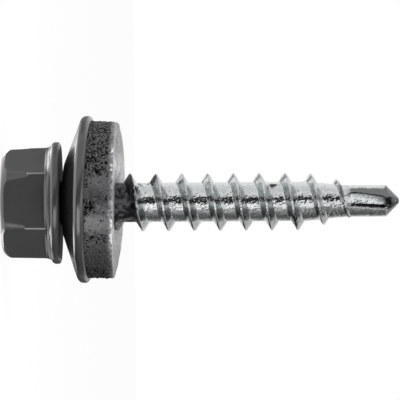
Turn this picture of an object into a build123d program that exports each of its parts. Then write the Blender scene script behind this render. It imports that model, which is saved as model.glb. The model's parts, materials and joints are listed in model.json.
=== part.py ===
"""Self drilling roofing screw with a bonded sealing washer.

Frame: millimetres, +Z up. The screw stands on the flat top of its hexagon head:
the top of the head is the plane Z = 0, the axis of the shank is the Z axis and the
drill point is uppermost. One flat of the hexagon faces -Y, almost square on.

Three pieces: the screw itself, cold formed from one wire, the dished metal plate of
the washer and the rubber ring bonded under that plate.
"""

import os
from math import cos, radians, sin, sqrt, tan

from build123d import *

# hexagon head
hex_flats = 8.06
hex_draft = 0.04
hex_height = 4.18
head_top_radius = 3.54
head_flat_softness = 0.38
head_corner_softness = 1.00
hex_corner_radius = 0.50
hex_corner_radius_at_flange = 0.14
hex_base_fillet = 0.45
hex_turn = -2.5
softening_steps = (0, 0.02, 0.06, 0.12, 0.22, 0.38, 0.60, 0.80, 1)

# flange formed on the head
flange_radius = 5.15
flange_thickness = 0.86
flange_upper_bevel = 0.20
flange_lower_bevel = 0.16
flange_seat = hex_height + flange_thickness

# shank: the core of the thread and its taper to the drill point
core_radius = 1.665
neck_foot_widening = 0.35
taper_start = 25.6
taper_middle = 27.4
taper_middle_radius = 1.50
drill_start = 29.3
drill_radius = 1.335

# right-handed thread, heights counted in turns from where it leaves the washer
pitch = 2.18
thread_zero = 9.74
crest_radius = 2.43
crest_width = 0.12
flank_angle = 32.0
root_overlap = 0.12
run_in_turn = -0.42
run_in_radius = 1.60
full_from_turn = 0.36
full_to_turn = 7.36
tail_turn = 8.0
tail_radius = 2.00
last_rise_turn = 8.5
last_rise_radius = 1.84
ridge_turn = 8.8
ridge_radius = 1.50
run_out_turn = 9.25
run_out_radius = 1.30
least_tooth = 0.02
stations_per_turn = 12

# drill point: a right angled cone with two flutes, each with a relief flat beside it
drill_shoulder = 32.42
point_height = 33.56
chisel_radius = 0.22
chisel_rise = 0.05
relief_turn = 35.0
relief_lean = 1.5
relief_depth = 0.075
relief_overrun = 0.3
flute_floor_width = 0.33
flute_floor_rise = 0.05
flute_wall_radius = 1.5
flute_wall_lean = 0.04
flute_lip_margin = 0.02
flute_mouth_flare = 0.55
flute_mouth_rise = 0.45
flute_outside = 0.90
flute_stations = (
    # height, reach towards -X, reach towards +X, distance of the floor from the axis
    (28.95, 0.62, 0.42, 1.40),
    (29.40, 0.66, 0.46, 1.02),
    (30.40, 0.60, 0.50, 0.93),
    (31.60, 0.46, 0.55, 0.86),
    (32.30, 0.34, 0.58, 0.80),
    (33.00, 0.24, 0.60, 0.62),
    (34.00, 0.14, 0.62, 0.40),
)

# dished metal plate of the washer, levels counted from the middle of its rim
plate_radius = 7.05
plate_bore_clearance = 0.72
plate_bore_radius = crest_radius + plate_bore_clearance
plate_thickness = 0.80
plate_dish = 20.0
plate_rim_level = -0.36
plate_rim_bevel = 0.18

# sealing ring bonded under the plate
ring_set_in = 0.40
ring_radius = plate_radius - ring_set_in
ring_bore_clearance = 0.585
ring_bore_radius = core_radius + ring_bore_clearance
ring_face_level = 2.50
ring_edge_bevel = 0.18

# how the washer hangs on the shank: a little off centre, leaning and clear of the flange
washer_offset = -0.28
washer_gap = 0.10
washer_lean_back = 3.4
washer_lean_side = 1.5


def head_section(height):
    """Rounded hexagon of the head at a height below its softened upper edge."""
    flats_radius = hex_flats / 2 - hex_draft
    flat_rise = max(0.0, 1 - height / head_flat_softness)
    corner_rise = max(0.0, 1 - height / head_corner_softness)
    apothem = head_top_radius + (flats_radius - head_top_radius) * sqrt(1 - flat_rise**2)
    corner_full = flats_radius / cos(radians(30)) - hex_corner_radius * (1 / cos(radians(30)) - 1)
    corner = head_top_radius + (corner_full - head_top_radius) * sqrt(1 - corner_rise**2)
    rounding = (apothem / cos(radians(30)) - corner) / (1 / cos(radians(30)) - 1)
    return hexagon(apothem, min(rounding, 0.99 * apothem))


def hexagon(apothem, rounding):
    """Hexagon with rounded corners and one flat towards -Y."""
    with BuildSketch() as outline:
        RegularPolygon(apothem, 6, major_radius=False, rotation=hex_turn)
        fillet(outline.vertices(), rounding)
    return outline.sketch


def hexagon_block():
    """Hexagon of the head: a softened upper edge, then flats with a slight draft."""
    with BuildPart() as block:
        for share in softening_steps:
            with BuildSketch(Plane.XY.offset(share * head_corner_softness)):
                add(head_section(share * head_corner_softness))
        loft()
        with BuildSketch(Plane.XY.offset(head_corner_softness)):
            add(head_section(head_corner_softness))
        with BuildSketch(Plane.XY.offset(hex_height)):
            add(hexagon(hex_flats / 2, hex_corner_radius_at_flange))
        loft()
    return block.part


def flange():
    """Round flange with both of its edges broken."""
    with BuildPart() as disc:
        with Locations((0, 0, hex_height)):
            Cylinder(flange_radius, flange_thickness, align=(Align.CENTER, Align.CENTER, Align.MIN))
        chamfer(disc.edges().sort_by(Axis.Z)[0], flange_upper_bevel)
        chamfer(disc.edges().sort_by(Axis.Z)[-1], flange_lower_bevel)
    return disc.part


def head():
    """Hexagon and flange in one piece, joined by a small hollow fillet."""
    with BuildPart() as formed_head:
        add(hexagon_block())
        add(flange())
        at_flange = formed_head.edges().filter_by_position(Axis.Z, hex_height, hex_height)
        fillet(at_flange.filter_by(lambda edge: edge.length < hex_flats), hex_base_fillet)
    return formed_head.part


def core():
    """Shank without its thread, down to the point, turned about the Z axis."""
    neck_foot = core_radius + neck_foot_widening
    with BuildPart() as turned:
        with BuildSketch(Plane.XZ):
            with BuildLine():
                Polyline(
                    (0, hex_height),
                    (neck_foot, hex_height),
                    (neck_foot, flange_seat),
                    (core_radius, flange_seat + neck_foot_widening),
                    (core_radius, taper_start),
                    (taper_middle_radius, taper_middle),
                    (drill_radius, drill_start),
                    (drill_radius, drill_shoulder),
                    (chisel_radius, point_height - chisel_rise),
                    (0, point_height),
                    close=True,
                )
            make_face()
        revolve(axis=Axis.Z)
    return turned.part


def core_radius_at(height):
    """Radius of the core beside the thread, straight between its named places."""
    places = (
        (taper_start, core_radius),
        (taper_middle, taper_middle_radius),
        (drill_start, drill_radius),
    )
    return between(places, height)


def crest_radius_at(turn):
    """Radius of the crest: it rises out of the core, stays full and dies away."""
    places = (
        (run_in_turn, run_in_radius),
        (full_from_turn, crest_radius),
        (full_to_turn, crest_radius),
        (tail_turn, tail_radius),
        (last_rise_turn, last_rise_radius),
        (ridge_turn, ridge_radius),
        (run_out_turn, run_out_radius),
    )
    return between(places, turn)


def between(places, position):
    """Value at a position, straight between the nearest two (position, value) places."""
    if position <= places[0][0]:
        return places[0][1]
    for (start, first), (end, last) in zip(places, places[1:]):
        if position <= end:
            return first + (last - first) * (position - start) / (end - start)
    return places[-1][1]


def tooth_section(turn):
    """Cross-section of the thread tooth in the plane through the axis at this turn."""
    angle = radians(360 * turn)
    height = thread_zero + pitch * turn
    outwards = (cos(angle), sin(angle), 0)
    backwards = (sin(angle), -cos(angle), 0)
    root = core_radius_at(height) - root_overlap
    crest = max(crest_radius_at(turn), root + least_tooth)
    half_crest = crest_width / 2
    half_root = half_crest + (crest - root) * tan(radians(flank_angle))
    with BuildSketch(Plane(origin=(0, 0, height), x_dir=outwards, z_dir=backwards)) as section:
        with BuildLine():
            Polyline(
                (root, -half_root),
                (crest, -half_crest),
                (crest, half_crest),
                (root, half_root),
                close=True,
            )
        make_face()
    return section.sketch


def thread_turn(first, last):
    """Length of the thread tooth, run through its cross-sections along the helix."""
    with BuildPart() as tooth:
        loft([tooth_section(step / stations_per_turn) for step in range(first, last + 1)])
    return tooth.part


def threaded_core():
    """Core with the thread grown on it, one turn after another."""
    first = round(run_in_turn * stations_per_turn)
    last = round(run_out_turn * stations_per_turn)
    with BuildPart() as shank:
        add(core())
        for start in range(first, last, stations_per_turn):
            add(thread_turn(start, min(start + stations_per_turn, last)))
    return shank.part


def flute_section(height, reach, far_reach, floor):
    """Outline of what a flute takes away at one height: steep wall, floor, hollow wall."""
    lip = (-reach, -sqrt(drill_radius**2 - reach**2) - flute_lip_margin)
    mouth = (lip[0] - flute_mouth_flare, lip[1] - flute_mouth_rise)
    outside = -drill_radius - flute_outside
    deep_corner = (far_reach, -floor - flute_floor_rise)
    floor_end = (far_reach - flute_floor_width, -floor)
    with BuildSketch(Plane.XY.offset(height)) as section:
        with BuildLine():
            Line((far_reach + flute_wall_lean, outside), deep_corner)
            Line(deep_corner, floor_end)
            RadiusArc(floor_end, lip, flute_wall_radius)
            Line(lip, mouth)
            Line(mouth, (mouth[0], outside))
            Line((mouth[0], outside), (far_reach + flute_wall_lean, outside))
        make_face()
    return section.sketch


def flute():
    """One flute of the drill point, running out along the shank."""
    with BuildPart() as groove:
        loft([flute_section(*station) for station in flute_stations])
    return groove.part


def relief():
    """Flat ground away beside a flute, deeper towards the point."""
    length = point_height - drill_start
    outwards = (-sin(radians(relief_turn)), -cos(radians(relief_turn)), tan(radians(relief_lean)))
    facing = Plane(origin=(0, 0, drill_start + length / 2), x_dir=(0, 0, 1), z_dir=outwards)
    with BuildPart() as flat:
        with Locations(facing.offset(drill_radius - relief_depth)):
            Box(
                length + 2 * relief_overrun,
                2 * drill_radius,
                drill_radius,
                align=(Align.CENTER, Align.CENTER, Align.MIN),
            )
    return flat.part


with BuildPart() as screw:
    add(threaded_core())
    add(head())
    with PolarLocations(0, 2):
        add(flute(), mode=Mode.SUBTRACT)
        add(relief(), mode=Mode.SUBTRACT)


def cone_level(radius, offset=0.0):
    """Level of the dished plate at a radius, measured along the washer's own axis."""
    return plate_rim_level - (plate_radius - radius) * tan(radians(plate_dish)) + offset


def washer_plate_upright():
    """Dished plate turned about its own axis."""
    axial = plate_thickness / cos(radians(plate_dish))
    with BuildPart() as plate:
        with BuildSketch(Plane.XZ) as half:
            with BuildLine():
                Polyline(
                    (plate_bore_radius, cone_level(plate_bore_radius)),
                    (plate_radius, cone_level(plate_radius)),
                    (plate_radius, cone_level(plate_radius, axial)),
                    (plate_bore_radius, cone_level(plate_bore_radius, axial)),
                    close=True,
                )
            make_face()
            chamfer(half.vertices().group_by(Axis.X)[-1], plate_rim_bevel)
        revolve(axis=Axis.Z)
    return plate.part


def sealing_ring_upright():
    """Rubber ring: its back follows the plate, its face is flat."""
    axial = plate_thickness / cos(radians(plate_dish))
    with BuildPart() as ring:
        with BuildSketch(Plane.XZ) as half:
            with BuildLine():
                Polyline(
                    (ring_bore_radius, cone_level(ring_bore_radius, axial)),
                    (ring_radius, cone_level(ring_radius, axial)),
                    (ring_radius, ring_face_level),
                    (ring_bore_radius, ring_face_level),
                    close=True,
                )
            make_face()
            chamfer(half.vertices().group_by(Axis.Y)[-1].sort_by(Axis.X)[-1], ring_edge_bevel)
        revolve(axis=Axis.Z)
    return ring.part


def washer_place():
    """Place of the washer: the lowest edge of its bore hangs just above the flange."""
    upright = cos(radians(washer_lean_back)) * cos(radians(washer_lean_side))
    leaning = sqrt(1 - upright**2)
    below = plate_bore_radius * leaning - cone_level(plate_bore_radius) * upright
    height = flange_seat + washer_gap + below
    return Location((washer_offset, 0, height), (washer_lean_back, washer_lean_side, 0))


with BuildPart() as washer_plate:
    with Locations(washer_place()):
        add(washer_plate_upright())

with BuildPart() as sealing_ring:
    with Locations(washer_place()):
        add(sealing_ring_upright())

screw.part.label = "screw"
washer_plate.part.label = "washer_plate"
sealing_ring.part.label = "sealing_ring"

os.makedirs("parts", exist_ok=True)
export_step(screw.part, "parts/screw.step")
export_step(washer_plate.part, "parts/washer_plate.step")
export_step(sealing_ring.part, "parts/sealing_ring.step")
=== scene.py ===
"""Roofing screw with its sealing washer, dressed in its real finishes.

Sizes are millimetres, angles are degrees and heights are counted from the top of the head, which
stands on the floor. Meshes are turned to metres when they are made. The shank points up, and one
flat of the hexagon faces -Y.
"""

import json
from math import asin, atan, atan2, cos, degrees, exp, floor, hypot, pi, radians, sin, sqrt, tan

import bmesh
import bpy
from mathutils import Matrix, Vector, noise


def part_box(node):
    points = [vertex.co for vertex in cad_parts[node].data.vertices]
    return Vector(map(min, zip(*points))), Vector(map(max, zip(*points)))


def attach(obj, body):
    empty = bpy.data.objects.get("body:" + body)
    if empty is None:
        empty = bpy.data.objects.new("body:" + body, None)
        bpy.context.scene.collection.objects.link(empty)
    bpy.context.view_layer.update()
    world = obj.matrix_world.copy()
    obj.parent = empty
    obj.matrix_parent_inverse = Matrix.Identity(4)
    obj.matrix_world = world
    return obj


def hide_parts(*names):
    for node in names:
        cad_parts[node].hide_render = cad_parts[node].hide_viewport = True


MM = 0.001
weld_distance = 0.0001  # points closer together than this are one point

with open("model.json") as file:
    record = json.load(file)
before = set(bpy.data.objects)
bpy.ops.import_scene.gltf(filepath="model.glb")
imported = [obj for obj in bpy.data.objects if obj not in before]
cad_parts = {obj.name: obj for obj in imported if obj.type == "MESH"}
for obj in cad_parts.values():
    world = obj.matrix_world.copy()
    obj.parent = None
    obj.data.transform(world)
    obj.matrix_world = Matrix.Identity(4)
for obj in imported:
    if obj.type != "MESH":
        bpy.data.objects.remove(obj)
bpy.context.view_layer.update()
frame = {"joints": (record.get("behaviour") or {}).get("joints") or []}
screw_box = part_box("screw")

# hexagon head; lists with six values have one for each corner
hex_flats = 8.12
hex_draft = 0.04
hex_height = 4.18
hex_turn = -2.5
head_top_radius = 3.54
flat_softness = 0.38
corner_softness = (0.65, 0.55, 0.90, 0.90, 0.95, 0.92)
corner_wear = (1.45, 1.00, 0.18, 0.95, 1.00, 0.62)
# height and radius of a corner as it was formed; past its trim height a corner is cut sharp
corner_rounding = ((0.30, 1.15), (0.65, 1.05), (0.97, 0.93), (1.44, 0.80), (1.86, 0.64), (2.25, 0.50))
trimmed_corner_radius = 0.09
trim_heights = (2.30, 2.08, 2.20, 2.31, 2.10, 2.24)
trim_depth = 0.12
trim_foot = 0.35
head_wave = 0.006
foot_fillet = 0.66
fillet_bead = 0.008
fillet_bead_width = 0.26
points_beside_corner = (0, 0.7, 1.4, 2.1, 2.8, 3.6, 4.5, 5.6, 7.0, 8.8, 11, 13.5, 16.5, 19.5, 23, 26.5)

# flange
flange_radius = screw_box[1].x / MM
flange_seat = 5.00
flange_upper_rounding = 0.40
flange_lower_rounding = 0.26
neck_fillet = 0.35

# shank
core_radius = 1.665
core_places = (
    # height, radius
    (25.6, 1.665),
    (26.4, 1.61),
    (27.4, 1.50),
    (28.4, 1.39),
    (29.3, 1.335),
)

# thread
pitch = 2.18
thread_zero = 9.74
crest_width = 0.09
crest_wear = 0.012
flank_angle = 32.0
flank_blend = 0.10
crest_places = (
    # turn, radius of the crest
    (-0.36, 1.60),
    (-0.04, 2.36),
    (0.10, 2.43),
    (7.36, 2.43),
    (8.0, 2.00),
    (8.5, 1.84),
    (8.8, 1.50),
    (9.25, 1.30),
)
rows_per_turn = 144
strip_start = 4.80
shank_start = 4.96
strip_end = 28.45
# a dark seam beside the crests on the +X side, painted as shade
painted_crest_shade = (-0.05, 0.11, 1.25)  # middle beside the crest, half width, strength
dark_tooth = 7

# drill point
drill_radius = 1.335
drill_shoulder = 32.42
point_height = screw_box[1].z / MM
chisel_radius = 0.22
chisel_rise = 0.05
relief_turn = 35.0
relief_lean = 1.5
relief_width = 19.0
relief_depth = 0.075
relief_level = 31.4
ground_start = 29.1
mouth_start = 32.3
beyond_skin = 9.0
flute_places = (
    # height, reach of the lip, reach of the wall, width of the bed, distance of the bed
    (28.85, 0.20, 0.22, 0.10, 1.40),
    (29.05, 0.46, 0.34, 0.20, 1.24),
    (29.40, 0.66, 0.43, 0.25, 1.07),
    (29.90, 0.67, 0.47, 0.27, 0.98),
    (30.60, 0.60, 0.51, 0.28, 0.97),
    (31.60, 0.45, 0.58, 0.31, 0.99),
    (32.30, 0.30, 0.64, 0.36, 0.98),
    (32.80, 0.24, 0.62, 0.34, 0.86),
    (33.20, 0.20, 0.50, 0.25, 0.62),
)

# paint that strayed onto the shank
paint_end = 11.55
paint_fade = 0.8
paint_shelter = 1.15
thin_paint = 0.3
paint_splashes = (
    # x, y, height, spread, strength
    (-1.95, -0.6, 12.80, 0.30, 2.6),
    (-1.70, -1.0, 15.04, 0.06, 2.2),
)

# washer
plate_radius = 7.05
plate_bore = 3.15
plate_head_side_roll = 0.45
plate_ring_side_roll = 0.30
plate_thickness = 0.84
plate_dish = 20.0
plate_rim_level = -0.40
ring_radius = 6.65
ring_bore = 2.40
ring_face_level = 2.50
ring_edge_rounding = 0.11
ring_bore_rounding = 0.10
ring_saddle = 0.13
near_brim_lift = 0.20
far_brim_lift = 0.14
cut_inset = 0.045
pit_depth = 0.20
lip_radius = 2.46
lip_gap = 0.58
lip_gap_turn = -8.0
lip_height = 0.05
lip_depth = 0.35
torn_wall = (
    # angle from +X, how torn
    (-180, 0.86),
    (-112, 0.88),
    (-107, 0.70),
    (-92, 0.70),
    (-88, 0.90),
    (-79, 0.90),
    (-74, 0.60),
    (-66, 0.60),
    (-60, 0.85),
    (-52, 0.90),
    (-46, 0.60),
    (-34, 0.60),
    (-26, 1.00),
    (60, 0.90),
    (85, 0.40),
    (105, 0.70),
    (180, 0.95),
)
brim_dust_and_sheen_by_angle = (
    # angle from +X, how pale: dust, and partly a painted sheen
    (-180, 0.60),
    (-150, 0.75),
    (-128, 0.82),
    (-112, 0.85),
    (-102, 0.60),
    (-88, 0.55),
    (-78, 0.75),
    (-72, 0.98),
    (-52, 0.85),
    (-40, 0.40),
    (180, 0.60),
)
skin_patches = (
    # angle, share of the wall's height, half width, half height, tone
    (-102.0, 0.55, 4.5, 0.34, 0.8),
    (-94.5, 0.42, 5.0, 0.30, -0.3),
    (-72.5, 0.44, 7.0, 0.42, 0.9),
    (-84.5, 0.62, 3.0, 0.20, 0.4),
    (-48.0, 0.50, 9.0, 0.40, -0.4),
    (-20.0, 0.50, 24.0, 0.90, -1.0),
    (-87.5, 0.50, 5.5, 0.80, -1.0),
    (20.0, 0.45, 14.0, 0.40, 0.5),
    (95.0, 0.55, 9.0, 0.40, 0.8),
    (140.0, 0.50, 7.0, 0.30, -0.3),
)

# studio
fill_light = 0.45
tent_slant = 0.6
tent_brightest = 2.0
tent_ends_in_front = 1.2
tent_ends_behind = 0.15
tent_end_lean = 0.65
tent_panels = (
    # angle beside the camera, below zero on the side of -X; brightness
    (-180, 1.02),
    (-120, 1.00),
    (-100, 0.90),
    (-75, 0.75),
    (-60, 0.76),
    (-46, 0.95),
    (-35, 1.05),
    (-28, 0.05),
    (-20, 0.03),
    (9, 0.03),
    (14, 1.35),
    (29, 1.25),
    (39, 0.68),
    (50, 0.40),
    (62, 0.36),
    (75, 0.25),
    (90, 0.14),
    (115, 0.15),
    (128, 0.17),
    (143, 0.62),
    (160, 0.80),
)


# Small helpers ------------


def between(places, position):
    """Value at a position, straight between the nearest two (position, value) places."""
    if position <= places[0][0]:
        return places[0][1]
    for (start, first), (end, last) in zip(places, places[1:]):
        if position <= end:
            return first + (last - first) * (position - start) / (end - start)
    return places[-1][1]


def ease(low, high, position):
    """0 below low, 1 above high and a smooth step in between."""
    share = min(1.0, max(0.0, (position - low) / (high - low)))
    return share * share * (3 - 2 * share)


def grain(point, size, seed=0):
    """Smooth noise from -1 to 1 whose features are about as large as the size."""
    return noise.noise(Vector(point) / size + Vector((17.3, 5.1, 9.7)) * (seed + 1))


def arc(centre, radius, start, end, steps):
    """Points of an arc in a (reach, height) outline, from start to end degrees."""
    angles = [radians(start + (end - start) * step / steps) for step in range(steps + 1)]
    return [(centre[0] + radius * cos(a), centre[1] + radius * sin(a)) for a in angles]


def line(first, last, steps):
    """Points from first to last, both included."""
    return [
        (first[0] + (last[0] - first[0]) * k / steps, first[1] + (last[1] - first[1]) * k / steps)
        for k in range(steps + 1)
    ]


def joined(*runs):
    """Runs of points in one list, without the point that two runs share."""
    points = list(runs[0])
    for run in runs[1:]:
        points += run[1:]
    return points


def ring_faces(rings, around):
    """Quads between rings of points that each close on themselves."""
    faces = []
    for start in range(0, (rings - 1) * around, around):
        for k in range(around):
            after = start + (k + 1) % around
            faces.append((start + k, after, after + around, start + around + k))
    return faces


def closed_faces(rings, around):
    """Quads of a tube that closes on itself, from its last ring back to its first."""
    last = (rings - 1) * around
    back = [(last + k, last + (k + 1) % around, (k + 1) % around, k) for k in range(around)]
    return ring_faces(rings, around) + back


def piece(name, points, faces, finish, body, node, shades=None, start=None):
    """One shown piece: a closed mesh, cut off below its start if it has one, its finish and body."""
    mesh = bpy.data.meshes.new(name)
    mesh.from_pydata([Vector(p) * MM for p in points], [], faces)
    for title, values in (shades or {}).items():
        mesh.attributes.new(title, "FLOAT", "POINT").data.foreach_set("value", values)
    mesh.validate()
    skin = bmesh.new()
    skin.from_mesh(mesh)
    bmesh.ops.remove_doubles(skin, verts=skin.verts, dist=weld_distance * MM)
    if start is not None:
        parts = skin.verts[:] + skin.edges[:] + skin.faces[:]
        level = Vector((0, 0, start * MM))
        bmesh.ops.bisect_plane(skin, geom=parts, plane_co=level, plane_no=(0, 0, -1), clear_outer=True)
    bmesh.ops.holes_fill(skin, edges=skin.edges)
    bmesh.ops.recalc_face_normals(skin, faces=skin.faces)
    skin.to_mesh(mesh)
    skin.free()
    mesh.shade_smooth()
    mesh.materials.append(finish)
    made = bpy.data.objects.new(name, mesh)
    bpy.context.scene.collection.objects.link(made)
    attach(made, body)
    if node:
        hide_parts(node)
    return made


# Head ------------


def hexagon_reach(beside, apothem, rounding):
    """Reach of a rounded hexagon at an angle beside the middle of one of its flats."""
    tangent = degrees(atan((apothem - rounding) * tan(radians(30)) / apothem))
    if abs(beside) <= tangent:
        return apothem / cos(radians(beside))
    from_corner = radians(30 - abs(beside))
    centre = (apothem - rounding) / cos(radians(30))
    return centre * cos(from_corner) + sqrt(max(0.0, rounding**2 - (centre * sin(from_corner)) ** 2))


def head_reach(height, beside, corner):
    """Reach of the hexagon at a height: round cornered above, sharp cornered below the trim line."""
    full = hex_flats / 2 - hex_draft * (1 - ease(1.0, hex_height, height))
    flat_rise = max(0.0, 1 - height / flat_softness)
    apothem = head_top_radius + (full - head_top_radius) * sqrt(1 - flat_rise**2)
    slant = 1 / cos(radians(30))
    worn = between(corner_rounding, height) * corner_wear[corner]
    corner_rise = max(0.0, 1 - height / corner_softness[corner])
    stand = full * slant - worn * (slant - 1) - head_top_radius
    reach = head_top_radius + stand * sqrt(1 - corner_rise**2)
    rounded = min((apothem * slant - reach) / (slant - 1), 0.99 * apothem)
    trim = trim_heights[corner]
    sharp = ease(trim, trim + trim_depth, height)
    return hexagon_reach(beside, apothem, rounded + (trimmed_corner_radius - rounded) * sharp)


def flange_level(reach):
    """Height of the flange's upper surface at a reach."""
    over = max(0.0, reach - (flange_radius - flange_upper_rounding))
    return hex_height + flange_upper_rounding - sqrt(max(0.0, flange_upper_rounding**2 - over**2))


def head_column(beside, corner):
    """(reach, height) points of the head in one direction, from its top to the neck."""
    top = head_reach(0, beside, corner)
    wall = head_reach(hex_height, beside, corner)
    run = min(foot_fillet, 0.6 * (flange_radius - wall))
    foot = flange_level(wall + run)
    upper = [(top * share, 0.0) for share in (0.3, 0.6, 0.8, 0.92, 0.98)]
    softened = [(step / 26) ** 2 for step in range(27)]
    walls = [1.0 + (foot - foot_fillet - 1.0) * step / 46 for step in range(1, 47)]
    upper += [(head_reach(height, beside, corner), height) for height in softened + walls]
    hollow = []
    for across, along in arc((0, 0), 1, 180, 90, 32)[1:]:
        way = foot_fillet * asin(along)
        bead = fillet_bead * sin(2 * pi * way / fillet_bead_width) * ease(0.1, 0.25, way)
        height = foot - foot_fillet + (foot_fillet - bead) * along
        hollow.append((wall + run + (run - bead) * across, height))
    upper_edge = flange_radius - flange_upper_rounding
    lower_edge = flange_radius - flange_lower_rounding
    neck_edge = core_radius + neck_fillet
    flat_end = max(wall + run + 0.02, upper_edge)
    land = [(r, flange_level(r)) for r, _ in line((wall + run, 0), (flat_end, 0), 5)[1:]]
    lean = degrees(asin(min(1.0, (flat_end - upper_edge) / flange_upper_rounding)))
    centre = (upper_edge, hex_height + flange_upper_rounding)
    rolled = arc(centre, flange_upper_rounding, -90 + lean, 0, 12)[1:]
    under = arc((lower_edge, flange_seat - flange_lower_rounding), flange_lower_rounding, 0, 90, 12)
    seat = line((lower_edge, flange_seat), (neck_edge, flange_seat), 8)
    neck = arc((neck_edge, flange_seat + neck_fillet), neck_fillet, -90, -180, 6)
    return upper + hollow + land + rolled + joined(under, seat, neck)


def head_directions():
    """(angle, angle beside the flat, corner) of each column, closer together by the corners."""
    directions = []
    for flat in range(6):
        middle = hex_turn - 90 + 60 * flat
        directions.append((middle, 0.0, flat))
        for spot in points_beside_corner:
            beside = spot - 30
            directions.append((middle + beside, beside, flat))
            if spot > 0:
                directions.append((middle - beside, -beside, (flat + 1) % 6))
    return sorted(directions)


def painted_head(finish):
    """Hexagon and flange, with the slight waves of a paint film."""
    directions = head_directions()
    columns = [head_column(beside, corner) for _, beside, corner in directions]
    points, worn_corner_and_highlight = [(0, 0, 0)], [0.0]
    for ring in range(len(columns[0])):
        for (angle, beside, corner), column in zip(directions, columns):
            reach, height = column[ring]
            # a pale line along each trimmed corner: paint worn down there, and a painted highlight
            trimmed = trim_heights[corner] < height < hex_height - trim_foot
            edge = ease(0.9, 0.3, 30 - abs(beside)) if trimmed else 0.0
            worn_corner_and_highlight.append(edge * (0.75 + 0.25 * grain((height, angle, 0), 0.3, 9)))
            x, y = reach * cos(radians(angle)), reach * sin(radians(angle))
            inside = height > 0.02 and reach < flange_radius - 0.05
            wave = head_wave * grain((x, y, height), 1.3) / reach if inside else 0
            points.append((x * (1 + wave), y * (1 + wave), height))
    around = len(directions)
    faces = [(0, (k + 1) % around + 1, k + 1) for k in range(around)]
    faces += [tuple(corner + 1 for corner in face) for face in ring_faces(len(columns[0]), around)]
    shades = {"thin_paint": worn_corner_and_highlight}
    return piece("painted_head", points, faces, finish, "screw", "screw", shades)


# Shank ------------


def tooth_height(turn, across):
    """How far the thread stands over the axis at a place across its crest."""
    crest = between(crest_places, turn) + crest_wear * grain((turn * 7.0, 0, 0), 1.0, 3)
    slope = 1 / tan(radians(flank_angle))
    flat = crest_width / 2
    if abs(across) <= flat:
        return crest - 0.02 * (1 - abs(across) / flat)
    return crest - (abs(across) - flat) * slope


def shank_reach(turn, across):
    """Reach of core and thread at a turn and a height above or below its crest."""
    core = between(core_places, thread_zero + pitch * turn + across)
    gap = tooth_height(turn, across) - core
    if gap <= -flank_blend:
        return core
    if gap >= flank_blend:
        return tooth_height(turn, across)
    return core + (gap + flank_blend) ** 2 / (4 * flank_blend)


def flank_share(turn, across):
    """How far a place lies on a flank of the thread: 0 on the core and the crest, 1 between them."""
    core = between(core_places, thread_zero + pitch * turn + across)
    stand = between(crest_places, turn) - core
    above = shank_reach(turn, across) - core
    if stand < 0.12 or above < 0.02:
        return 0.0
    share = above / stand
    return ease(0.03, 0.16, share) * ease(0.99, 0.95, share)


def reach_at(angle, height):
    """Reach of the shank in a direction, in degrees from +X, at a height."""
    turn = angle / 360
    turn += floor((height - thread_zero) / pitch - turn + 0.5)
    return shank_reach(turn, height - thread_zero - pitch * turn)


def thread_spots(turn):
    """Heights beside the crest at which the thread is drawn, from one valley to the next."""
    core = between(core_places, thread_zero + pitch * turn)
    stand = max(0.06, between(crest_places, turn) - core)
    flank = crest_width / 2 + stand * tan(radians(flank_angle))
    # the crest's edge is there twice, so that stray paint ends sharply on it
    half = [0, 0.02, crest_width / 2, crest_width / 2, 0.085]
    half += [0.085 + (flank - 0.10 - 0.085) * step / 6 for step in range(1, 7)]
    half += [flank - 0.06, flank - 0.03, flank, flank + 0.03, flank + 0.06, flank + 0.12]
    half += [flank + 0.12 + (pitch / 2 - flank - 0.12) * step / 4 for step in range(1, 5)]
    return [-spot for spot in half[:0:-1]] + half


def thread_strip():
    """Points and faces of the shank from inside the head to where the drill point begins."""
    first = floor((strip_start - thread_zero) / pitch * rows_per_turn) - rows_per_turn
    last = int((strip_end - thread_zero) / pitch * rows_per_turn) + rows_per_turn
    columns = len(thread_spots(0)) - 1
    points, flanks = [], []
    for row in range(first, last + 1):
        turn = row / rows_per_turn
        angle = 2 * pi * turn
        spots = thread_spots(turn)
        for spot in spots[:-1]:
            height = min(strip_end, max(strip_start, thread_zero + pitch * turn + spot))
            reach = reach_at(360 * turn, height)
            points.append((reach * cos(angle), reach * sin(angle), height))
            flanks.append(flank_share(turn, spot))
    faces = []
    rows = last - first
    for row in range(rows):
        for column in range(columns):
            near = row * columns + column
            near_next = near + 1
            if column == columns - 1:
                if row + 1 + rows_per_turn > rows:
                    continue
                near_next = (row + rows_per_turn) * columns
            face = (near, near + columns, near_next + columns, near_next)
            heights = {round(points[k][2], 6) for k in face}
            if heights != {strip_end} and heights != {strip_start}:
                faces.append(face)
    return points, faces, flanks


def flute_at(height):
    """Reach of a flute's lip and wall, width of its bed and distance of the bed from the axis."""
    return [between([(p[0], p[k]) for p in flute_places], height) for k in (1, 2, 3, 4)]


def flute_outline(height):
    """Half of the drill point's section: steep wall, bed, hollow and lip, then the skin as it is."""
    reach, wall, width, depth = flute_at(height)
    wall_top = (wall + 0.03, -sqrt(drill_radius**2 - (wall + 0.03) ** 2))
    corner = (wall, -depth - 0.02)
    bed_end = (wall - width, -depth)
    lip = (-reach, -sqrt(drill_radius**2 - reach**2))
    steep = line(wall_top, corner, 8)
    bed = line(corner, bed_end, 8)
    bulge = 0.05 * hypot(lip[0] - bed_end[0], lip[1] - bed_end[1])
    chord = enumerate(line(bed_end, lip, 22))
    hollow = [(x, y + bulge * sin(pi * step / 22)) for step, (x, y) in chord]
    lip_angle = degrees(atan2(lip[0], -lip[1]))
    relief_end = -relief_turn - relief_width
    land_end = degrees(atan2(wall_top[0], -wall_top[1])) - 180
    ground = line((lip_angle, 0), (relief_end, 0), 10)
    land = line((relief_end, 0), (land_end, 0), 24)
    angles = [radians(angle) for angle, _ in joined(ground, land)]
    skin = [(beyond_skin * sin(angle), -beyond_skin * cos(angle)) for angle in angles]
    return joined(steep, bed, hollow, skin)[:-1]


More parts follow.
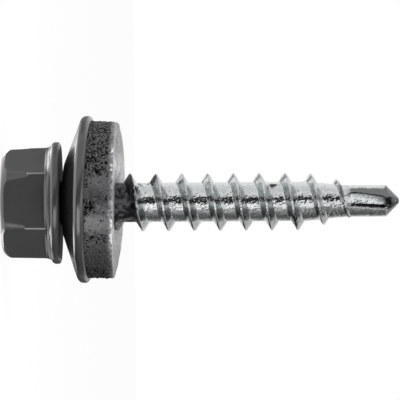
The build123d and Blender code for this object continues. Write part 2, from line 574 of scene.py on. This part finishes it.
def point_reach(angle, height):
    """Reach of the drill point without its flutes: thread's tail, cone and relief flats."""
    cone_end = point_height - chisel_rise
    along = (height - drill_shoulder) / (cone_end - drill_shoulder)
    cone = drill_radius + (chisel_radius - drill_radius) * along
    reach = min(reach_at(angle, height), cone)
    for side in (0, 180):
        beside = radians(angle + 90 + relief_turn - side)
        if cos(beside) > 0.5 and height > 29.0:
            lean = tan(radians(relief_lean)) * (height - relief_level)
            reach = min(reach, (drill_radius - relief_depth - lean) / cos(beside))
    return reach


def drill_rings():
    """Rings of the drill point, from the end of the thread strip to the chisel edge."""
    heights = [strip_end + 0.04 * step for step in range(int((point_height - strip_end) / 0.04))]
    heights += [point_height - chisel_rise]
    rings = []
    for height in heights:
        half = flute_outline(height)
        outline = half + [(-x, -y) for x, y in half]
        around = len(outline)
        settled = ease(strip_end, 28.75, height)
        ring = []
        for step, (x, y) in enumerate(outline):
            even = 180 - 360 * step / around
            own = degrees(atan2(y, x))
            own += 360 * round((even - own) / 360)
            angle = even + (own - even) * settled
            fluted = hypot(x, y) if settled > 0.99 else beyond_skin
            reach = min(fluted, point_reach(angle, height))
            ring.append((reach * cos(radians(angle)), reach * sin(radians(angle)), height))
        rings.append(ring)
    return rings


def overspray(point, facing):
    """How surely paint lies on a place of the shank: above 0 it does."""
    x, y, z = point
    cover = max(-1.2, (paint_end - z) / paint_fade - paint_shelter * facing)
    chipped = ease(1.1, 1.45, x) * ease(11.2, 10.8, z) * ease(9.4, 9.7, z)
    cover += (thin_paint - cover) * chipped
    if facing < 0.3:
        for across, near, height, spread, strength in paint_splashes:
            away = (x - across) ** 2 + (z - height) ** 2 + (y - near) ** 2
            cover += strength * exp(-away / spread)
    return cover


def dull_share(point):
    """How dull a place of the drill point is: the thread's tail, the ground reliefs and the cone."""
    x, y, z = point
    if z < 30.0:
        tail = hypot(x, y) - between(core_places, z)
        if tail > 0.02:
            return 0.8 * ease(0.02, 0.07, tail)
    if z < ground_start:
        return 0.0
    angle = degrees(atan2(-x, -y)) if y < 0 else degrees(atan2(x, y))
    first = degrees(asin(flute_at(z)[0] / drill_radius)) - 1.0
    last = 52.0 + 5.0 * grain((z, 0, 0), 0.7, 41) + 2.5 * grain((z, 0, 0), 0.25, 42)
    last += 70.0 * ease(mouth_start - 0.1, mouth_start + 0.4, z)
    streaks = 1.15 + 0.55 * grain((z * 0.5, angle * 0.2, 0), 0.5, 43)
    relief = ease(ground_start, ground_start + 0.5, z) * streaks
    relief *= ease(first - 3, first, angle) * ease(last + 2.5, last - 1.5, angle)
    return max(relief, 0.8 * ease(drill_shoulder - 0.02, drill_shoulder + 0.08, z))


def stain_and_shade_share(point):
    """How black a place is: painted shade in the flutes, on their lips and by crests; a spot and a patch.
    """
    x, y, z = point
    stain_and_shade = 0.0
    if 29.0 < z < 33.0:
        beside = x if y < 0 else -x
        reach, wall, width, _ = flute_at(z)
        # painted shade: the flute's bed, its mouth at the point and a line along its lip are black
        bed = ease(-0.06, 0.04, beside - wall + width) * ease(0.07, 0.03, beside - wall)
        mouth_shade = ease(32.00, 32.25, z + 0.2 * beside) * ease(32.95, 32.85, z)
        mouth_shade *= 0.90 * ease(-0.36, -0.28, beside) * ease(0.64, 0.52, beside)
        if hypot(x, y) < drill_radius - 0.03 or z > mouth_start:
            stain_and_shade = max(0.72 * bed, mouth_shade)
        lip = 1.3 * ease(0.065, 0.03, abs(beside + reach + 0.03))
        lip *= ease(ground_start, ground_start + 0.2, z) * ease(mouth_start + 0.2, mouth_start, z)
        stain_and_shade = max(stain_and_shade, lip)
    # a dark spot on the core, towards -X and -Y
    dark_spot = exp(-((x + 1.38) ** 2 + (y + 0.97) ** 2 + ((z - 22.85) / 1.4) ** 2) / 0.17)
    angle = degrees(atan2(y, x))
    foot = thread_zero + pitch * (dark_tooth + angle / 360) - 0.08
    patch = exp(-(((angle + 44) / 24) ** 4) - ((z - foot) / 0.36) ** 4)
    # painted shade: a dark seam beside the crests, only on the side towards +X
    worn = 0.0
    if 9.0 < z < 27.0 and hypot(x, y) > 2.1:
        turn = (z - thread_zero) / pitch - angle / 360
        middle, half_width, strength = painted_crest_shade
        beside = pitch * (turn - floor(turn + 0.5)) - middle
        worn = strength * exp(-((beside / half_width) ** 2))
        worn *= ease(-60, -30, angle) * ease(60, 35, angle)
    return max(stain_and_shade, 1.1 * dark_spot, patch, worn)


def threaded_shank(finish):
    """Core, thread and drill point in one skin, with the paint that strayed onto them."""
    points, faces, flanks = thread_strip()
    rings = drill_rings()
    around = len(rings[0])
    start = len(points)
    for ring in rings:
        points += ring
    faces += [tuple(start + corner for corner in face) for face in ring_faces(len(rings), around)]
    tip = len(points)
    points.append((0, 0, point_height))
    last = tip - around
    faces += [(last + k, last + (k + 1) % around, tip) for k in range(around)]
    drilled = points[start:]
    beds = [float(z < 32.4 and hypot(x, y) < drill_radius - 0.04) for x, y, z in drilled]
    dull = [flank * max(0.0, 0.20 + 0.5 * grain(point, 0.32, 44)) for flank, point in zip(flanks, points)]
    dull += [max(0.22 * bed, dull_share(point)) for bed, point in zip(beds, drilled)]
    stain_and_shade = [stain_and_shade_share(point) for point in points]
    mesh = bpy.data.meshes.new("facing")
    mesh.from_pydata(points, [], faces)
    paint = [overspray(point, vertex.normal.z) for point, vertex in zip(points, mesh.vertices)]
    bpy.data.meshes.remove(mesh)
    flanks += [0.7 * bed for bed in beds]
    shades = {"overspray": paint, "dull": dull, "stain_and_shade": stain_and_shade, "flank": flanks}
    return piece(
        "threaded_shank", points, faces, finish, "screw", "screw", shades, shank_start
    )


# Washer ------------


def washer_place():
    """Place of the washer in the frame: its joint's position and axis."""
    joint = frame["joints"][0]
    axis = Vector(joint["axis"]).normalized()
    across = Vector((1, 0, 0))
    across = (across - axis * across.dot(axis)).normalized()
    turned = Matrix((across, axis.cross(across), axis)).transposed().to_4x4()
    return Matrix.Translation(Vector(joint["pos_m"]) / MM) @ turned


def dish_level(reach, over=0.0):
    """Level of the plate's head side at a reach, and of its ring side with its thickness over."""
    return plate_rim_level - (plate_radius - reach) * tan(radians(plate_dish)) + over


def turned_skin(outline, around, place, change):
    """Points and faces of an outline turned about the washer's axis, with each point changed."""
    points = []
    for reach, level in outline:
        for step in range(around):
            angle = 2 * pi * step / around
            point = Vector((reach * cos(angle), reach * sin(angle), level))
            points.append(place @ change(point))
    return points, closed_faces(len(outline), around)


def washer_plate(finish, place):
    """Dished plate with a rolled rim."""
    axial = plate_thickness / cos(radians(plate_dish))
    dish_end = plate_radius - 0.6
    outline = line((plate_bore, dish_level(plate_bore)), (dish_end, dish_level(dish_end)), 22)[:-1]
    roll = plate_head_side_roll
    edge = plate_radius - roll
    outline.append((edge, dish_level(edge)))
    centre = (edge, dish_level(edge) + roll / cos(radians(plate_dish)))
    outline += arc(centre, roll, -90 + plate_dish, 0, 10)
    roll = plate_ring_side_roll
    edge = plate_radius - roll
    outline += arc((edge, dish_level(edge, axial) - roll), roll, 0, 90 + plate_dish, 10)
    edge -= 0.12
    outline += line((edge, dish_level(edge, axial)), (plate_bore, dish_level(plate_bore, axial)), 16)

    def wave(point):
        return point + Vector((0, 0, 0.012 * grain(point, 2.5, 5)))

    points, faces = turned_skin(outline, 288, place, wave)
    return piece("dished_plate", points, faces, finish, "washer", "washer_plate")


def wall_skin(angle, share):
    """How torn the cut wall is, 0 smooth to 1 crumbly, and how light or dark its patches are."""
    torn = between(torn_wall, angle) * (1 - ease(0.78, 0.88, share))
    lighter = 0
    for middle, level, width, height, tone in skin_patches:
        there = exp(-(((angle - middle) / width) ** 4) - ((share - level) / height) ** 4)
        lighter += tone * there
        if tone > -1:
            torn -= there
    return max(0.0, torn), lighter


def pit_share(point, torn):
    """Depth of the torn pits, from 0 to 1: there are more of them where the wall is more torn."""
    cells = 0.9 * grain(point, 0.21, 31) + 0.8 * grain(point, 0.13, 32)
    start = 0.70 - 0.44 * torn
    return ease(start, start + 0.12, cells)


def sealing_ring(finish, place):
    """Rubber ring: its cut wall is crumbly, its edge and face are moulded and a little uneven."""
    axial = plate_thickness / cos(radians(plate_dish))
    back = dish_level(ring_radius, axial)
    edge = ring_edge_rounding
    inner_edge = ring_bore_rounding
    bore_start = (ring_bore, dish_level(ring_bore, axial))
    outline = joined(
        line(bore_start, (ring_bore, ring_face_level - inner_edge), 4),
        arc((ring_bore + inner_edge, ring_face_level - inner_edge), inner_edge, 180, 90, 3),
        line((ring_bore + inner_edge, ring_face_level), (ring_radius - edge, ring_face_level), 18),
        arc((ring_radius - edge, ring_face_level - edge), edge, 90, 0, 9),
        line((ring_radius, ring_face_level - edge), (ring_radius, back), 46),
        line((ring_radius, back), bore_start, 3),
    )[:-1]
    torn, tone, dust_and_painted_light, pits = [], [], [], []

    def cut(point):
        reach = hypot(point.x, point.y)
        angle = degrees(atan2(point.y, point.x))
        out = Vector((point.x / reach, point.y / reach, 0))
        share = max(0.0, (point.z - back) / (ring_face_level - back))
        wall = ease(ring_radius - 0.12, ring_radius - 0.02, reach)
        crumbly, lighter = wall_skin(angle, share)
        torn.append(wall * crumbly + 0.30 * (1 - wall))
        tone.append(wall * lighter)
        # the brim: dust, and a painted sheen that is stronger or weaker angle by angle
        brim_dust_and_sheen = ease(ring_radius - 0.35, ring_radius - 0.15, reach)
        brim_dust_and_sheen *= ease(0.82, 0.94, share + 0.05 * grain(point, 0.18, 18))
        brim_dust_and_sheen *= between(brim_dust_and_sheen_by_angle, angle) + 0.9 * grain(point, 0.2, 14)
        # painted shade: the pale dust fades towards -X, and more towards +X
        ends = 1 - (0.35 if point.x < 0 else 0.70) * ease(3.2, 6.2, abs(point.x))
        face = (1 - wall) * ease(0.96, 0.99, share) * (0.92 + 0.2 * grain(point, 0.9, 16))
        dust_and_painted_light.append(ends * max(face, brim_dust_and_sheen))
        lift = -ring_saddle * cos(radians(2 * angle))
        lift += 0.07 * sin(radians(angle)) + 0.03 * cos(radians(angle))
        lift += 0.025 * grain(point, 1.3, 13) + 0.012 * grain(point, 0.4, 13)
        lift += far_brim_lift * ease(80, 140, angle) * ease(180, 168, angle)
        lift *= ease(ring_bore, ring_bore + 1.2, reach)
        lift += near_brim_lift * ease(0.45, -0.45, point.y / reach) * ease(4.0, 6.3, reach)
        moved = point + Vector((0, 0, lift * share))
        ragged = 0.07 * grain(point, 0.34, 11) + 0.06 * grain(point, 0.15, 12)
        pits.append(wall * ease(0.97, 0.93, share) * pit_share(point, torn[-1]))
        return moved + out * wall * (ragged * (0.2 + torn[-1]) - cut_inset - pit_depth * pits[-1])

    points, faces = turned_skin(outline, 720, place, cut)
    shades = {"torn": torn, "tone": tone, "dust_and_painted_light": dust_and_painted_light, "pit_and_painted_shade": pits}
    return piece("rubber_ring", points, faces, finish, "washer", "sealing_ring", shades)


def neck_lip(finish, place):
    """Rubber squeezed against the neck: it closes the bore, but for a gap at one side."""
    around, section = 96, []
    for step in range(around):
        angle = 2 * pi * step / around
        rim = place @ Vector((lip_radius * cos(angle), lip_radius * sin(angle), ring_face_level + 0.004))
        beside = atan2(rim.y, rim.x)
        gap = lip_gap * ease(radians(75), radians(38), abs(beside - radians(lip_gap_turn)))
        inner = min(core_radius + gap, hypot(rim.x, rim.y) - 0.03) - 0.02
        near = Vector((inner * cos(beside), inner * sin(beside), 0))
        axis = place.col[2]
        near.z = rim.z + ((rim - near).x * axis.x + (rim - near).y * axis.y) / axis.z
        wave = 0.03 * grain(rim, 0.5, 15)
        top = near + Vector((0, 0, lip_height + wave))
        middle = rim.lerp(near, 0.5) + Vector((0, 0, 0.02 + wave / 2))
        down = Vector((0, 0, lip_depth))
        section.append((rim, middle, top, near - down, rim - down))
    points = [section[step][row] for row in range(5) for step in range(around)]
    faces = closed_faces(5, around)
    # painted shadow: the side towards +X is darker, more torn and pitted, and has no dust
    below = [ease(0.3, 0.9, x / hypot(x, y)) for x, y, _ in points]
    torn = [0.1 + 0.9 * share for share in below]
    tone = [-share for share in torn]
    dust_and_painted_light = [0.5 * (1 - share) for share in below]
    pits = [share * ease(-0.5, 0.5, grain(point, 0.25, 33)) for share, point in zip(below, points)]
    shades = {"torn": torn, "tone": tone, "dust_and_painted_light": dust_and_painted_light, "pit_and_painted_shade": pits}
    return piece("neck_lip", points, faces, finish, "screw", "", shades)


# Finishes ------------


def colour(hex_value):
    """Linear colour of an sRGB hex value."""
    parts = [int(hex_value[k : k + 2], 16) / 255 for k in (1, 3, 5)]
    return tuple(c / 12.92 if c <= 0.04045 else ((c + 0.055) / 1.055) ** 2.4 for c in parts) + (1.0,)


def per(size):
    """Texture scale at which a pattern repeats about once in a size in millimetres."""
    return 1 / (size * MM)


def add(tree, kind, links=None, **settings):
    """A node with its settings and its inputs: values, sockets, or nodes for what they give."""
    made = tree.nodes.new("ShaderNode" + kind)
    for name, value in settings.items():
        setattr(made, name, value)
    for socket, value in (links or {}).items():
        if isinstance(value, bpy.types.Node):
            value = next(given for given in value.outputs if given.enabled)
        if isinstance(value, bpy.types.NodeSocket):
            tree.links.new(value, made.inputs[socket])
        else:
            made.inputs[socket].default_value = value
    return made


def finish_named(name):
    """An empty node material and its tree."""
    made = bpy.data.materials.new(name)
    made.use_nodes = True
    made.node_tree.nodes.clear()
    return made, made.node_tree


def grey_paint(name, dark, light, gloss):
    """Stoved polyester paint on steel.

    It gives the head and the plate a satin, slightly wavy dark grey that clouds a little, with
    pale lines along the sharp corners, where the paint is worn and a highlight is painted.
    """
    made, tree = finish_named(name)
    place = add(tree, "TexCoord").outputs["Object"]
    cloud = add(tree, "TexNoise", {"Vector": place, "Scale": per(1.6), "Detail": 3.0})
    speck = add(tree, "TexNoise", {"Vector": place, "Scale": per(0.12), "Detail": 2.0})
    peel = add(tree, "TexNoise", {"Vector": place, "Scale": per(0.5), "Detail": 2.0})
    worn_corner_and_highlight = add(tree, "Attribute", attribute_name="thin_paint").outputs["Fac"]
    film = add(tree, "Mix", {0: cloud, 6: colour(dark), 7: colour(light)}, data_type="RGBA")
    # pale corner lines: worn paint and a painted highlight
    base = add(tree, "Mix", {0: worn_corner_and_highlight, 6: film, 7: colour("#B4B4B5")}, data_type="RGBA")
    satin = {"Value": speck, "From Min": 0.3, "From Max": 0.7, "To Min": 0.17, "To Max": 0.25}
    inputs = {
        "Base Color": base,
        "Roughness": add(tree, "MapRange", satin),
        "IOR": 1.5,
        "Specular IOR Level": gloss,
        "Normal": add(tree, "Bump", {"Height": peel, "Distance": 0.010 * MM, "Strength": 0.6}),
    }
    add(tree, "OutputMaterial", {"Surface": add(tree, "BsdfPrincipled", inputs)})
    return made


def zinc_plated_steel():
    """Bright zinc plating on rolled and ground steel, with paint that strayed onto its neck.

    The plating gives the shank a wavy, specked mirror, greyer on the flanks of the thread, with
    shade painted black in the flutes and beside the crests, and two dark spots. The stray paint is
    a rough, blotchy film with a ragged edge.
    """
    made, tree = finish_named("zinc_plated_steel")
    place = add(tree, "TexCoord").outputs["Object"]
    mottle = add(tree, "TexNoise", {"Vector": place, "Scale": per(0.55), "Detail": 3.0})
    # the real grain of zinc is finer than a view of the whole screw can show
    fine = add(tree, "TexNoise", {"Vector": place, "Scale": per(0.19), "Detail": 1.0})
    specks = add(tree, "TexNoise", {"Vector": place, "Scale": per(0.22), "Detail": 3.0, "Roughness": 0.6})
    ragged = add(tree, "TexNoise", {"Vector": place, "Scale": per(0.24), "Detail": 5.0})
    blotch = add(tree, "TexNoise", {"Vector": place, "Scale": per(0.38), "Detail": 3.0})
    cover = add(tree, "Attribute", attribute_name="overspray").outputs["Fac"]
    dull = add(tree, "Attribute", attribute_name="dull").outputs["Fac"]
    stain_and_shade = add(tree, "Attribute", attribute_name="stain_and_shade").outputs["Fac"]
    flank = add(tree, "Attribute", attribute_name="flank").outputs["Fac"]

    # plating, greyer where rolled or ground, with dark specks, two black spots and painted black shade
    plating = {0: mottle, 6: colour("#C8CCCC"), 7: colour("#E4E6E6")}
    rolled = {0: dull, 6: add(tree, "Mix", plating, data_type="RGBA"), 7: colour("#7E8282")}
    speck = add(tree, "MapRange", {"Value": specks, "From Min": 0.62, "From Max": 0.67, "To Max": 0.75})
    specked = {0: speck, 6: add(tree, "Mix", rolled, data_type="RGBA"), 7: colour("#5C6062")}
    crumbled = add(tree, "Math", {0: ragged, 1: 1.6, 2: stain_and_shade}, operation="MULTIPLY_ADD")
    black = add(tree, "MapRange", {"Value": crumbled, "From Min": 1.30, "From Max": 1.75, "To Max": 0.97})
    stained_and_shaded = {0: black, 6: add(tree, "Mix", specked, data_type="RGBA"), 7: colour("#1A1A1B")}
    zinc = add(tree, "Mix", stained_and_shaded, data_type="RGBA")

    # stray paint
    shifted = add(tree, "Math", {0: ragged, 1: 3.2, 2: cover}, operation="MULTIPLY_ADD")
    film = add(tree, "MapRange", {"Value": shifted, "From Min": 1.55, "From Max": 1.70})
    shade = add(tree, "MapRange", {"Value": blotch, "From Min": 0.44, "From Max": 0.60})
    blotchy = {0: shade, 6: colour("#0E0E0F"), 7: colour("#4C4C4E")}
    painted = add(tree, "Mix", blotchy, data_type="RGBA")
    base = add(tree, "Mix", {0: film, 6: zinc, 7: painted}, data_type="RGBA")

    # waves and gloss
    satin = {"Value": fine, "From Min": 0.35, "From Max": 0.65, "To Min": 0.07, "To Max": 0.14}
    duller = {0: dull, 1: 0.15, 2: add(tree, "MapRange", satin)}
    plain = add(tree, "Math", duller, operation="MULTIPLY_ADD")
    waves = add(tree, "Math", {0: mottle, 1: 2.1, 2: fine}, operation="MULTIPLY_ADD")
    lumps = add(tree, "Math", {0: film, 1: ragged}, operation="MULTIPLY")
    relief = add(tree, "Math", {0: lumps, 1: 3.3, 2: waves}, operation="MULTIPLY_ADD")
    even = add(tree, "MapRange", {"Value": flank, "To Min": 1.0, "To Max": 0.28})
    inputs = {
        "Base Color": base,
        "Metallic": add(tree, "MapRange", {"Value": film, "To Min": 1.0, "To Max": 0.0}),
        "Roughness": add(tree, "Mix", {0: film, 2: plain, 3: 0.38}),
        "Specular IOR Level": add(tree, "MapRange", {"Value": film, "To Min": 0.5, "To Max": 0.3}),
        "Normal": add(tree, "Bump", {"Height": relief, "Distance": 0.036 * MM, "Strength": even}),
    }
    add(tree, "OutputMaterial", {"Surface": add(tree, "BsdfPrincipled", inputs)})
    return made


def cellular_rubber():
    """Die cut cellular rubber.

    It gives the ring a dull black, crumbly wall with deep pits painted black as shade, smoother
    patches between them, and a pale, dusty face and brim where it is moulded. The brim's pale
    dust is partly a painted sheen, and it fades towards -X and +X as painted shade.
    """
    made, tree = finish_named("cellular_rubber")
    place = add(tree, "TexCoord").outputs["Object"]
    torn = add(tree, "Attribute", attribute_name="torn").outputs["Fac"]
    tone = add(tree, "Attribute", attribute_name="tone").outputs["Fac"]
    dust_and_painted_light = add(tree, "Attribute", attribute_name="dust_and_painted_light").outputs["Fac"]
    large = add(tree, "Attribute", attribute_name="pit_and_painted_shade").outputs["Fac"]
    # real crumbs and small cells are finer than a view of the whole screw can show
    crumbs = add(tree, "TexNoise", {"Vector": place, "Scale": per(0.11), "Detail": 2.0})
    cells = add(tree, "TexNoise", {"Vector": place, "Scale": per(0.15), "Detail": 1.0})
    bloom = add(tree, "TexNoise", {"Vector": place, "Scale": per(0.8), "Detail": 3.0})
    powder = add(tree, "TexNoise", {"Vector": place, "Scale": per(0.22), "Detail": 4.0})

    # cut wall: crumbs, smooth patches of their own tone, and pits painted black as shade
    crumb = add(tree, "MapRange", {"Value": crumbs, "From Min": 0.36, "From Max": 0.64})
    cut = add(tree, "Mix", {0: crumb, 6: colour("#262627"), 7: colour("#747476")}, data_type="RGBA")
    lifted = add(tree, "MapRange", {"Value": tone, "From Min": -1.0, "From Max": 1.0})
    toned = add(tree, "Mix", {0: lifted, 6: colour("#0C0C0D"), 7: colour("#585859")}, data_type="RGBA")
    skin = add(tree, "Mix", {0: 0.65, 6: cut, 7: toned}, data_type="RGBA")
    needed = add(tree, "Math", {0: torn, 1: 0.22, 2: cells}, operation="MULTIPLY_ADD")
    small = add(tree, "MapRange", {"Value": needed, "From Min": 0.735, "From Max": 0.785})
    pit_and_painted_shade = add(tree, "Math", {0: small, 1: large}, operation="MAXIMUM")

    # dust on the moulded face, chalky where it lies thick on the brim; there it is partly a painted sheen
    clumped = add(tree, "Math", {0: powder, 1: 1.4, 2: bloom}, operation="MULTIPLY_ADD")
    clump = add(tree, "MapRange", {"Value": clumped, "From Min": 0.95, "From Max": 1.45})
    dust_and_sheen_colour = add(tree, "Mix", {0: clump, 6: colour("#545456"), 7: colour("#A8A8AA")}, data_type="RGBA")
    thick_dust_and_sheen = add(tree, "MapRange", {"Value": dust_and_painted_light, "From Min": 0.85, "From Max": 1.35})
    chalky_dust_and_sheen = add(tree, "Mix", {0: thick_dust_and_sheen, 6: dust_and_sheen_colour, 7: colour("#E2E2E4")}, data_type="RGBA")
    with_dust_and_sheen = add(tree, "Mix", {0: dust_and_painted_light, 6: skin, 7: chalky_dust_and_sheen}, data_type="RGBA")
    # painted shade: the pits are coloured black
    base = add(tree, "Mix", {0: pit_and_painted_shade, 6: with_dust_and_sheen, 7: colour("#050505")}, data_type="RGBA")

    rough = {"Value": torn, "From Max": 0.8, "To Min": 0.30, "To Max": 0.55}
    strength = add(tree, "MapRange", {"Value": torn, "From Max": 0.6, "To Min": 0.15, "To Max": 0.9})
    relief = add(tree, "Math", {0: pit_and_painted_shade, 1: -1.6, 2: crumbs}, operation="MULTIPLY_ADD")
    inputs = {
        "Base Color": base,
        "Roughness": add(tree, "MapRange", rough),
        "IOR": 1.5,
        "Specular IOR Level": add(tree, "MapRange", {"Value": pit_and_painted_shade, "To Min": 0.8, "To Max": 0.15}),
        "Normal": add(tree, "Bump", {"Height": relief, "Distance": 0.05 * MM, "Strength": strength}),
    }
    add(tree, "OutputMaterial", {"Surface": add(tree, "BsdfPrincipled", inputs)})
    return made


# Stage ------------


def pale_floor():
    """Plain floor that looks pale, keeps the object's shadow and throws little light back up."""
    made, tree = finish_named("pale_floor")
    seen = add(tree, "LightPath").outputs["Is Camera Ray"]
    shade = add(tree, "Mix", {0: seen, 6: colour("#8A8A8A"), 7: colour("#F4F4F4")}, data_type="RGBA")
    matt = add(tree, "BsdfDiffuse", {"Color": shade})
    white = add(tree, "Emission")
    share = add(tree, "Math", {0: seen, 1: 0.95}, operation="MULTIPLY")
    add(tree, "OutputMaterial", {"Surface": add(tree, "MixShader", {0: share, 1: matt, 2: white})})
    return made


def white_studio():
    """White surroundings: soft fill light, and a tent with a dark front that gloss and metal mirror.

    The tent is a band of panels about the shank, slanted a little, closed by two ends that are
    brighter in front than behind and dim below.
    """
    world = bpy.data.worlds.new("white_studio")
    world.use_nodes = True
    tree = world.node_tree
    tree.nodes.clear()
    rays = add(tree, "LightPath").outputs
    direction = add(tree, "TexCoord").outputs["Generated"]
    x, y, z = add(tree, "SeparateXYZ", {0: direction}).outputs

    front = add(tree, "Math", {0: y, 1: -1.0}, operation="MULTIPLY")
    turn = add(tree, "Math", {0: x, 1: front}, operation="ARCTAN2")
    slant = add(tree, "Math", {0: z, 1: tent_slant, 2: turn}, operation="MULTIPLY_ADD")
    across = add(tree, "MapRange", {"Value": slant, "From Min": -pi, "From Max": pi})
    panels = add(tree, "ValToRGB", {"Fac": across})
    ramp = panels.color_ramp
    while len(ramp.elements) > 1:
        ramp.elements.remove(ramp.elements[0])
    for number, (angle, level) in enumerate(tent_panels):
        stop = ramp.elements[0] if number == 0 else ramp.elements.new(0.5 + angle / 360)
        stop.position = 0.5 + angle / 360
        stop.color = [level / tent_brightest] * 3 + [1.0]
    tent = add(tree, "Math", {0: panels, 1: tent_brightest}, operation="MULTIPLY")

    upright = add(tree, "Math", {0: z}, operation="ABSOLUTE")
    steep = add(tree, "Math", {0: x, 1: tent_end_lean, 2: upright}, operation="MULTIPLY_ADD")
    ends = add(tree, "MapRange", {"Value": steep, "From Min": 0.71, "From Max": 0.85})
    levels = {"To Min": tent_ends_in_front, "To Max": tent_ends_behind}
    behind = add(tree, "MapRange", {"Value": y, "From Min": -0.20, "From Max": 0.15, **levels})
    low = {"Value": x, "From Min": 0.10, "From Max": 0.40, "To Min": 1.0, "To Max": 0.12}
    dimmed = add(tree, "Math", {0: behind, 1: add(tree, "MapRange", low)}, operation="MULTIPLY")
    whole = add(tree, "Mix", {0: ends, 2: tent, 3: dimmed})

    mirrored = add(tree, "Mix", {0: rays["Is Glossy Ray"], 2: fill_light, 3: whole})
    straight = {0: rays["Is Camera Ray"], 1: rays["Is Transmission Ray"]}
    seen = add(tree, "Math", straight, operation="MAXIMUM")
    strength = add(tree, "Mix", {0: seen, 2: mirrored, 3: 1.0})
    light = add(tree, "Background", {"Color": (1, 1, 1, 1), "Strength": strength})
    add(tree, "OutputWorld", {"Surface": light})
    return world


def staged(name, corners, finish):
    """One flat face that belongs to the stage."""
    mesh = bpy.data.meshes.new(name)
    mesh.from_pydata([Vector(corner) * MM for corner in corners], [], [tuple(range(len(corners)))])
    mesh.materials.append(finish)
    made = bpy.data.objects.new(name, mesh)
    bpy.context.scene.collection.objects.link(made)
    return made


def lying(left, right, near, far, height):
    """Corners of a flat rectangle that lies level."""
    return ((left, near, height), (right, near, height), (right, far, height), (left, far, height))


def standing(first, last, low, high):
    """Corners of a rectangle that stands upright between two (x, y) places."""
    return ((*first, low), (*last, low), (*last, high), (*first, high))


def card(name, corners, brightness, far_brightness=None):
    """A flat card beside the object: gloss and metal mirror it and nothing else sees it.

    With a far brightness it fades towards its -X edge.
    """
    made, tree = finish_named(name)
    if far_brightness is not None:
        place = add(tree, "TexCoord").outputs["Object"]
        low = min(corner[0] for corner in corners) * MM
        high = max(corner[0] for corner in corners) * MM
        fade = {
            "Value": add(tree, "SeparateXYZ", {0: place}),
            "From Min": low,
            "From Max": (low + 2 * high) / 3,
            "To Min": far_brightness,
            "To Max": brightness,
        }
        brightness = add(tree, "MapRange", fade)
    light = add(tree, "Emission", {"Strength": brightness})
    add(tree, "OutputMaterial", {"Surface": light})
    shown = staged(name, corners, made)
    shown.visible_camera = False
    shown.visible_diffuse = False
    shown.visible_shadow = False
    shown.visible_transmission = False


def softbox(name, place, size, power, aim=(0, 0, 14)):
    """A square lamp with soft edges, aimed at the object. The tent stands for it in reflections."""
    lamp = bpy.data.lights.new(name, "AREA")
    lamp.size = size * MM
    lamp.energy = power
    made = bpy.data.objects.new(name, lamp)
    made.location = Vector(place) * MM
    made.rotation_euler = (Vector(aim) - Vector(place)).to_track_quat("-Z", "Y").to_euler()
    made.visible_glossy = False
    bpy.context.scene.collection.objects.link(made)


def cards():
    """The cards that the paint, the plating and the rubber's edge mirror."""
    # calms the upper flats and rims
    card("grey_card_behind_head", standing((-37, 3), (-11, 33), -3, 9), 0.39)
    # soft bright line along the edge of the head's end, and light into the fillets
    card("bright_card_under_head", [(x, y, -5) for x, y in arc((-3, -2), 15.5, 0, 345, 23)], 2.0)
    # highlight low on the rolled rim of the plate
    card("bright_card_below_rim", lying(5, 10.5, -3, 5, -4.9), 5.5)
    # broad sheen on the near, lower side of the washer
    card("pale_card_before_washer", standing((4.2, -29.7), (20.1, -22.3), -1, 4.9), 3.0)
    # keeps the gap under the flange's seat black
    card("dark_card_behind_seat", standing((-5.1, 8.5), (5.1, 8.5), 4.7, 8), 0.06)
    # keeps the lower side of the dish dark
    card("dark_card_below_washer", standing((6, 12), (18, 12), -1, 9.2), 0.12)
    # streaks in the hollow fillet at the hexagon's foot, bright above and paler below
    card("bright_card_behind_fillet", lying(-14, -4.6, 2, 11, -1.1), 4.4, 0.7)
    card("pale_card_behind_lower_fillet", lying(4.6, 14, 2, 11, -1.1), 1.1)
    # light on the cone and on the flanks that face the point
    card("pale_card_past_point", lying(7, 60, -8, 60, 46), 0.62)


def studio():
    """Floor, white surroundings, cards and three soft lamps."""
    floor_piece = staged("floor", lying(-600, 600, -600, 600, 0), pale_floor())
    floor_piece.visible_glossy = False
    bpy.context.scene.world = white_studio()
    cards()
    softbox("upper_softbox", (-68, -102, 101), 110, 0.17)
    softbox("lower_softbox", (127, -67, 56), 90, 0.09)
    softbox("end_softbox", (-10, -30, 190), 110, 0.16)


def camera():
    """Camera square to the shank, with the shank lying across the view."""
    distance = 296.0
    width = 33.8
    roll = -0.4
    data = bpy.data.cameras.new("camera")
    data.sensor_width = 36
    data.lens = data.sensor_width * distance / width
    data.clip_start = 0.01
    made = bpy.data.objects.new("camera", data)
    bpy.context.scene.collection.objects.link(made)
    right, up, back = Vector((0, 0, 1)), Vector((-1, 0, 0)), Vector((0, -1, 0))
    turned = Matrix((right, up, back)).transposed().to_4x4() @ Matrix.Rotation(radians(roll), 4, "Z")
    place = Vector((-0.169, -distance, 16.73)) * MM
    made.matrix_world = Matrix.Translation(place) @ turned
    bpy.context.scene.camera = made


camera()
place = washer_place()
painted_head(grey_paint("grey_paint_on_head", "#404041", "#464647", 0.8))
threaded_shank(zinc_plated_steel())
washer_plate(grey_paint("grey_paint_on_plate", "#363637", "#3C3C3D", 1.0), place)
rubber = cellular_rubber()
sealing_ring(rubber, place)
neck_lip(rubber, place)
studio()
bpy.context.scene.view_settings.view_transform = "Standard"
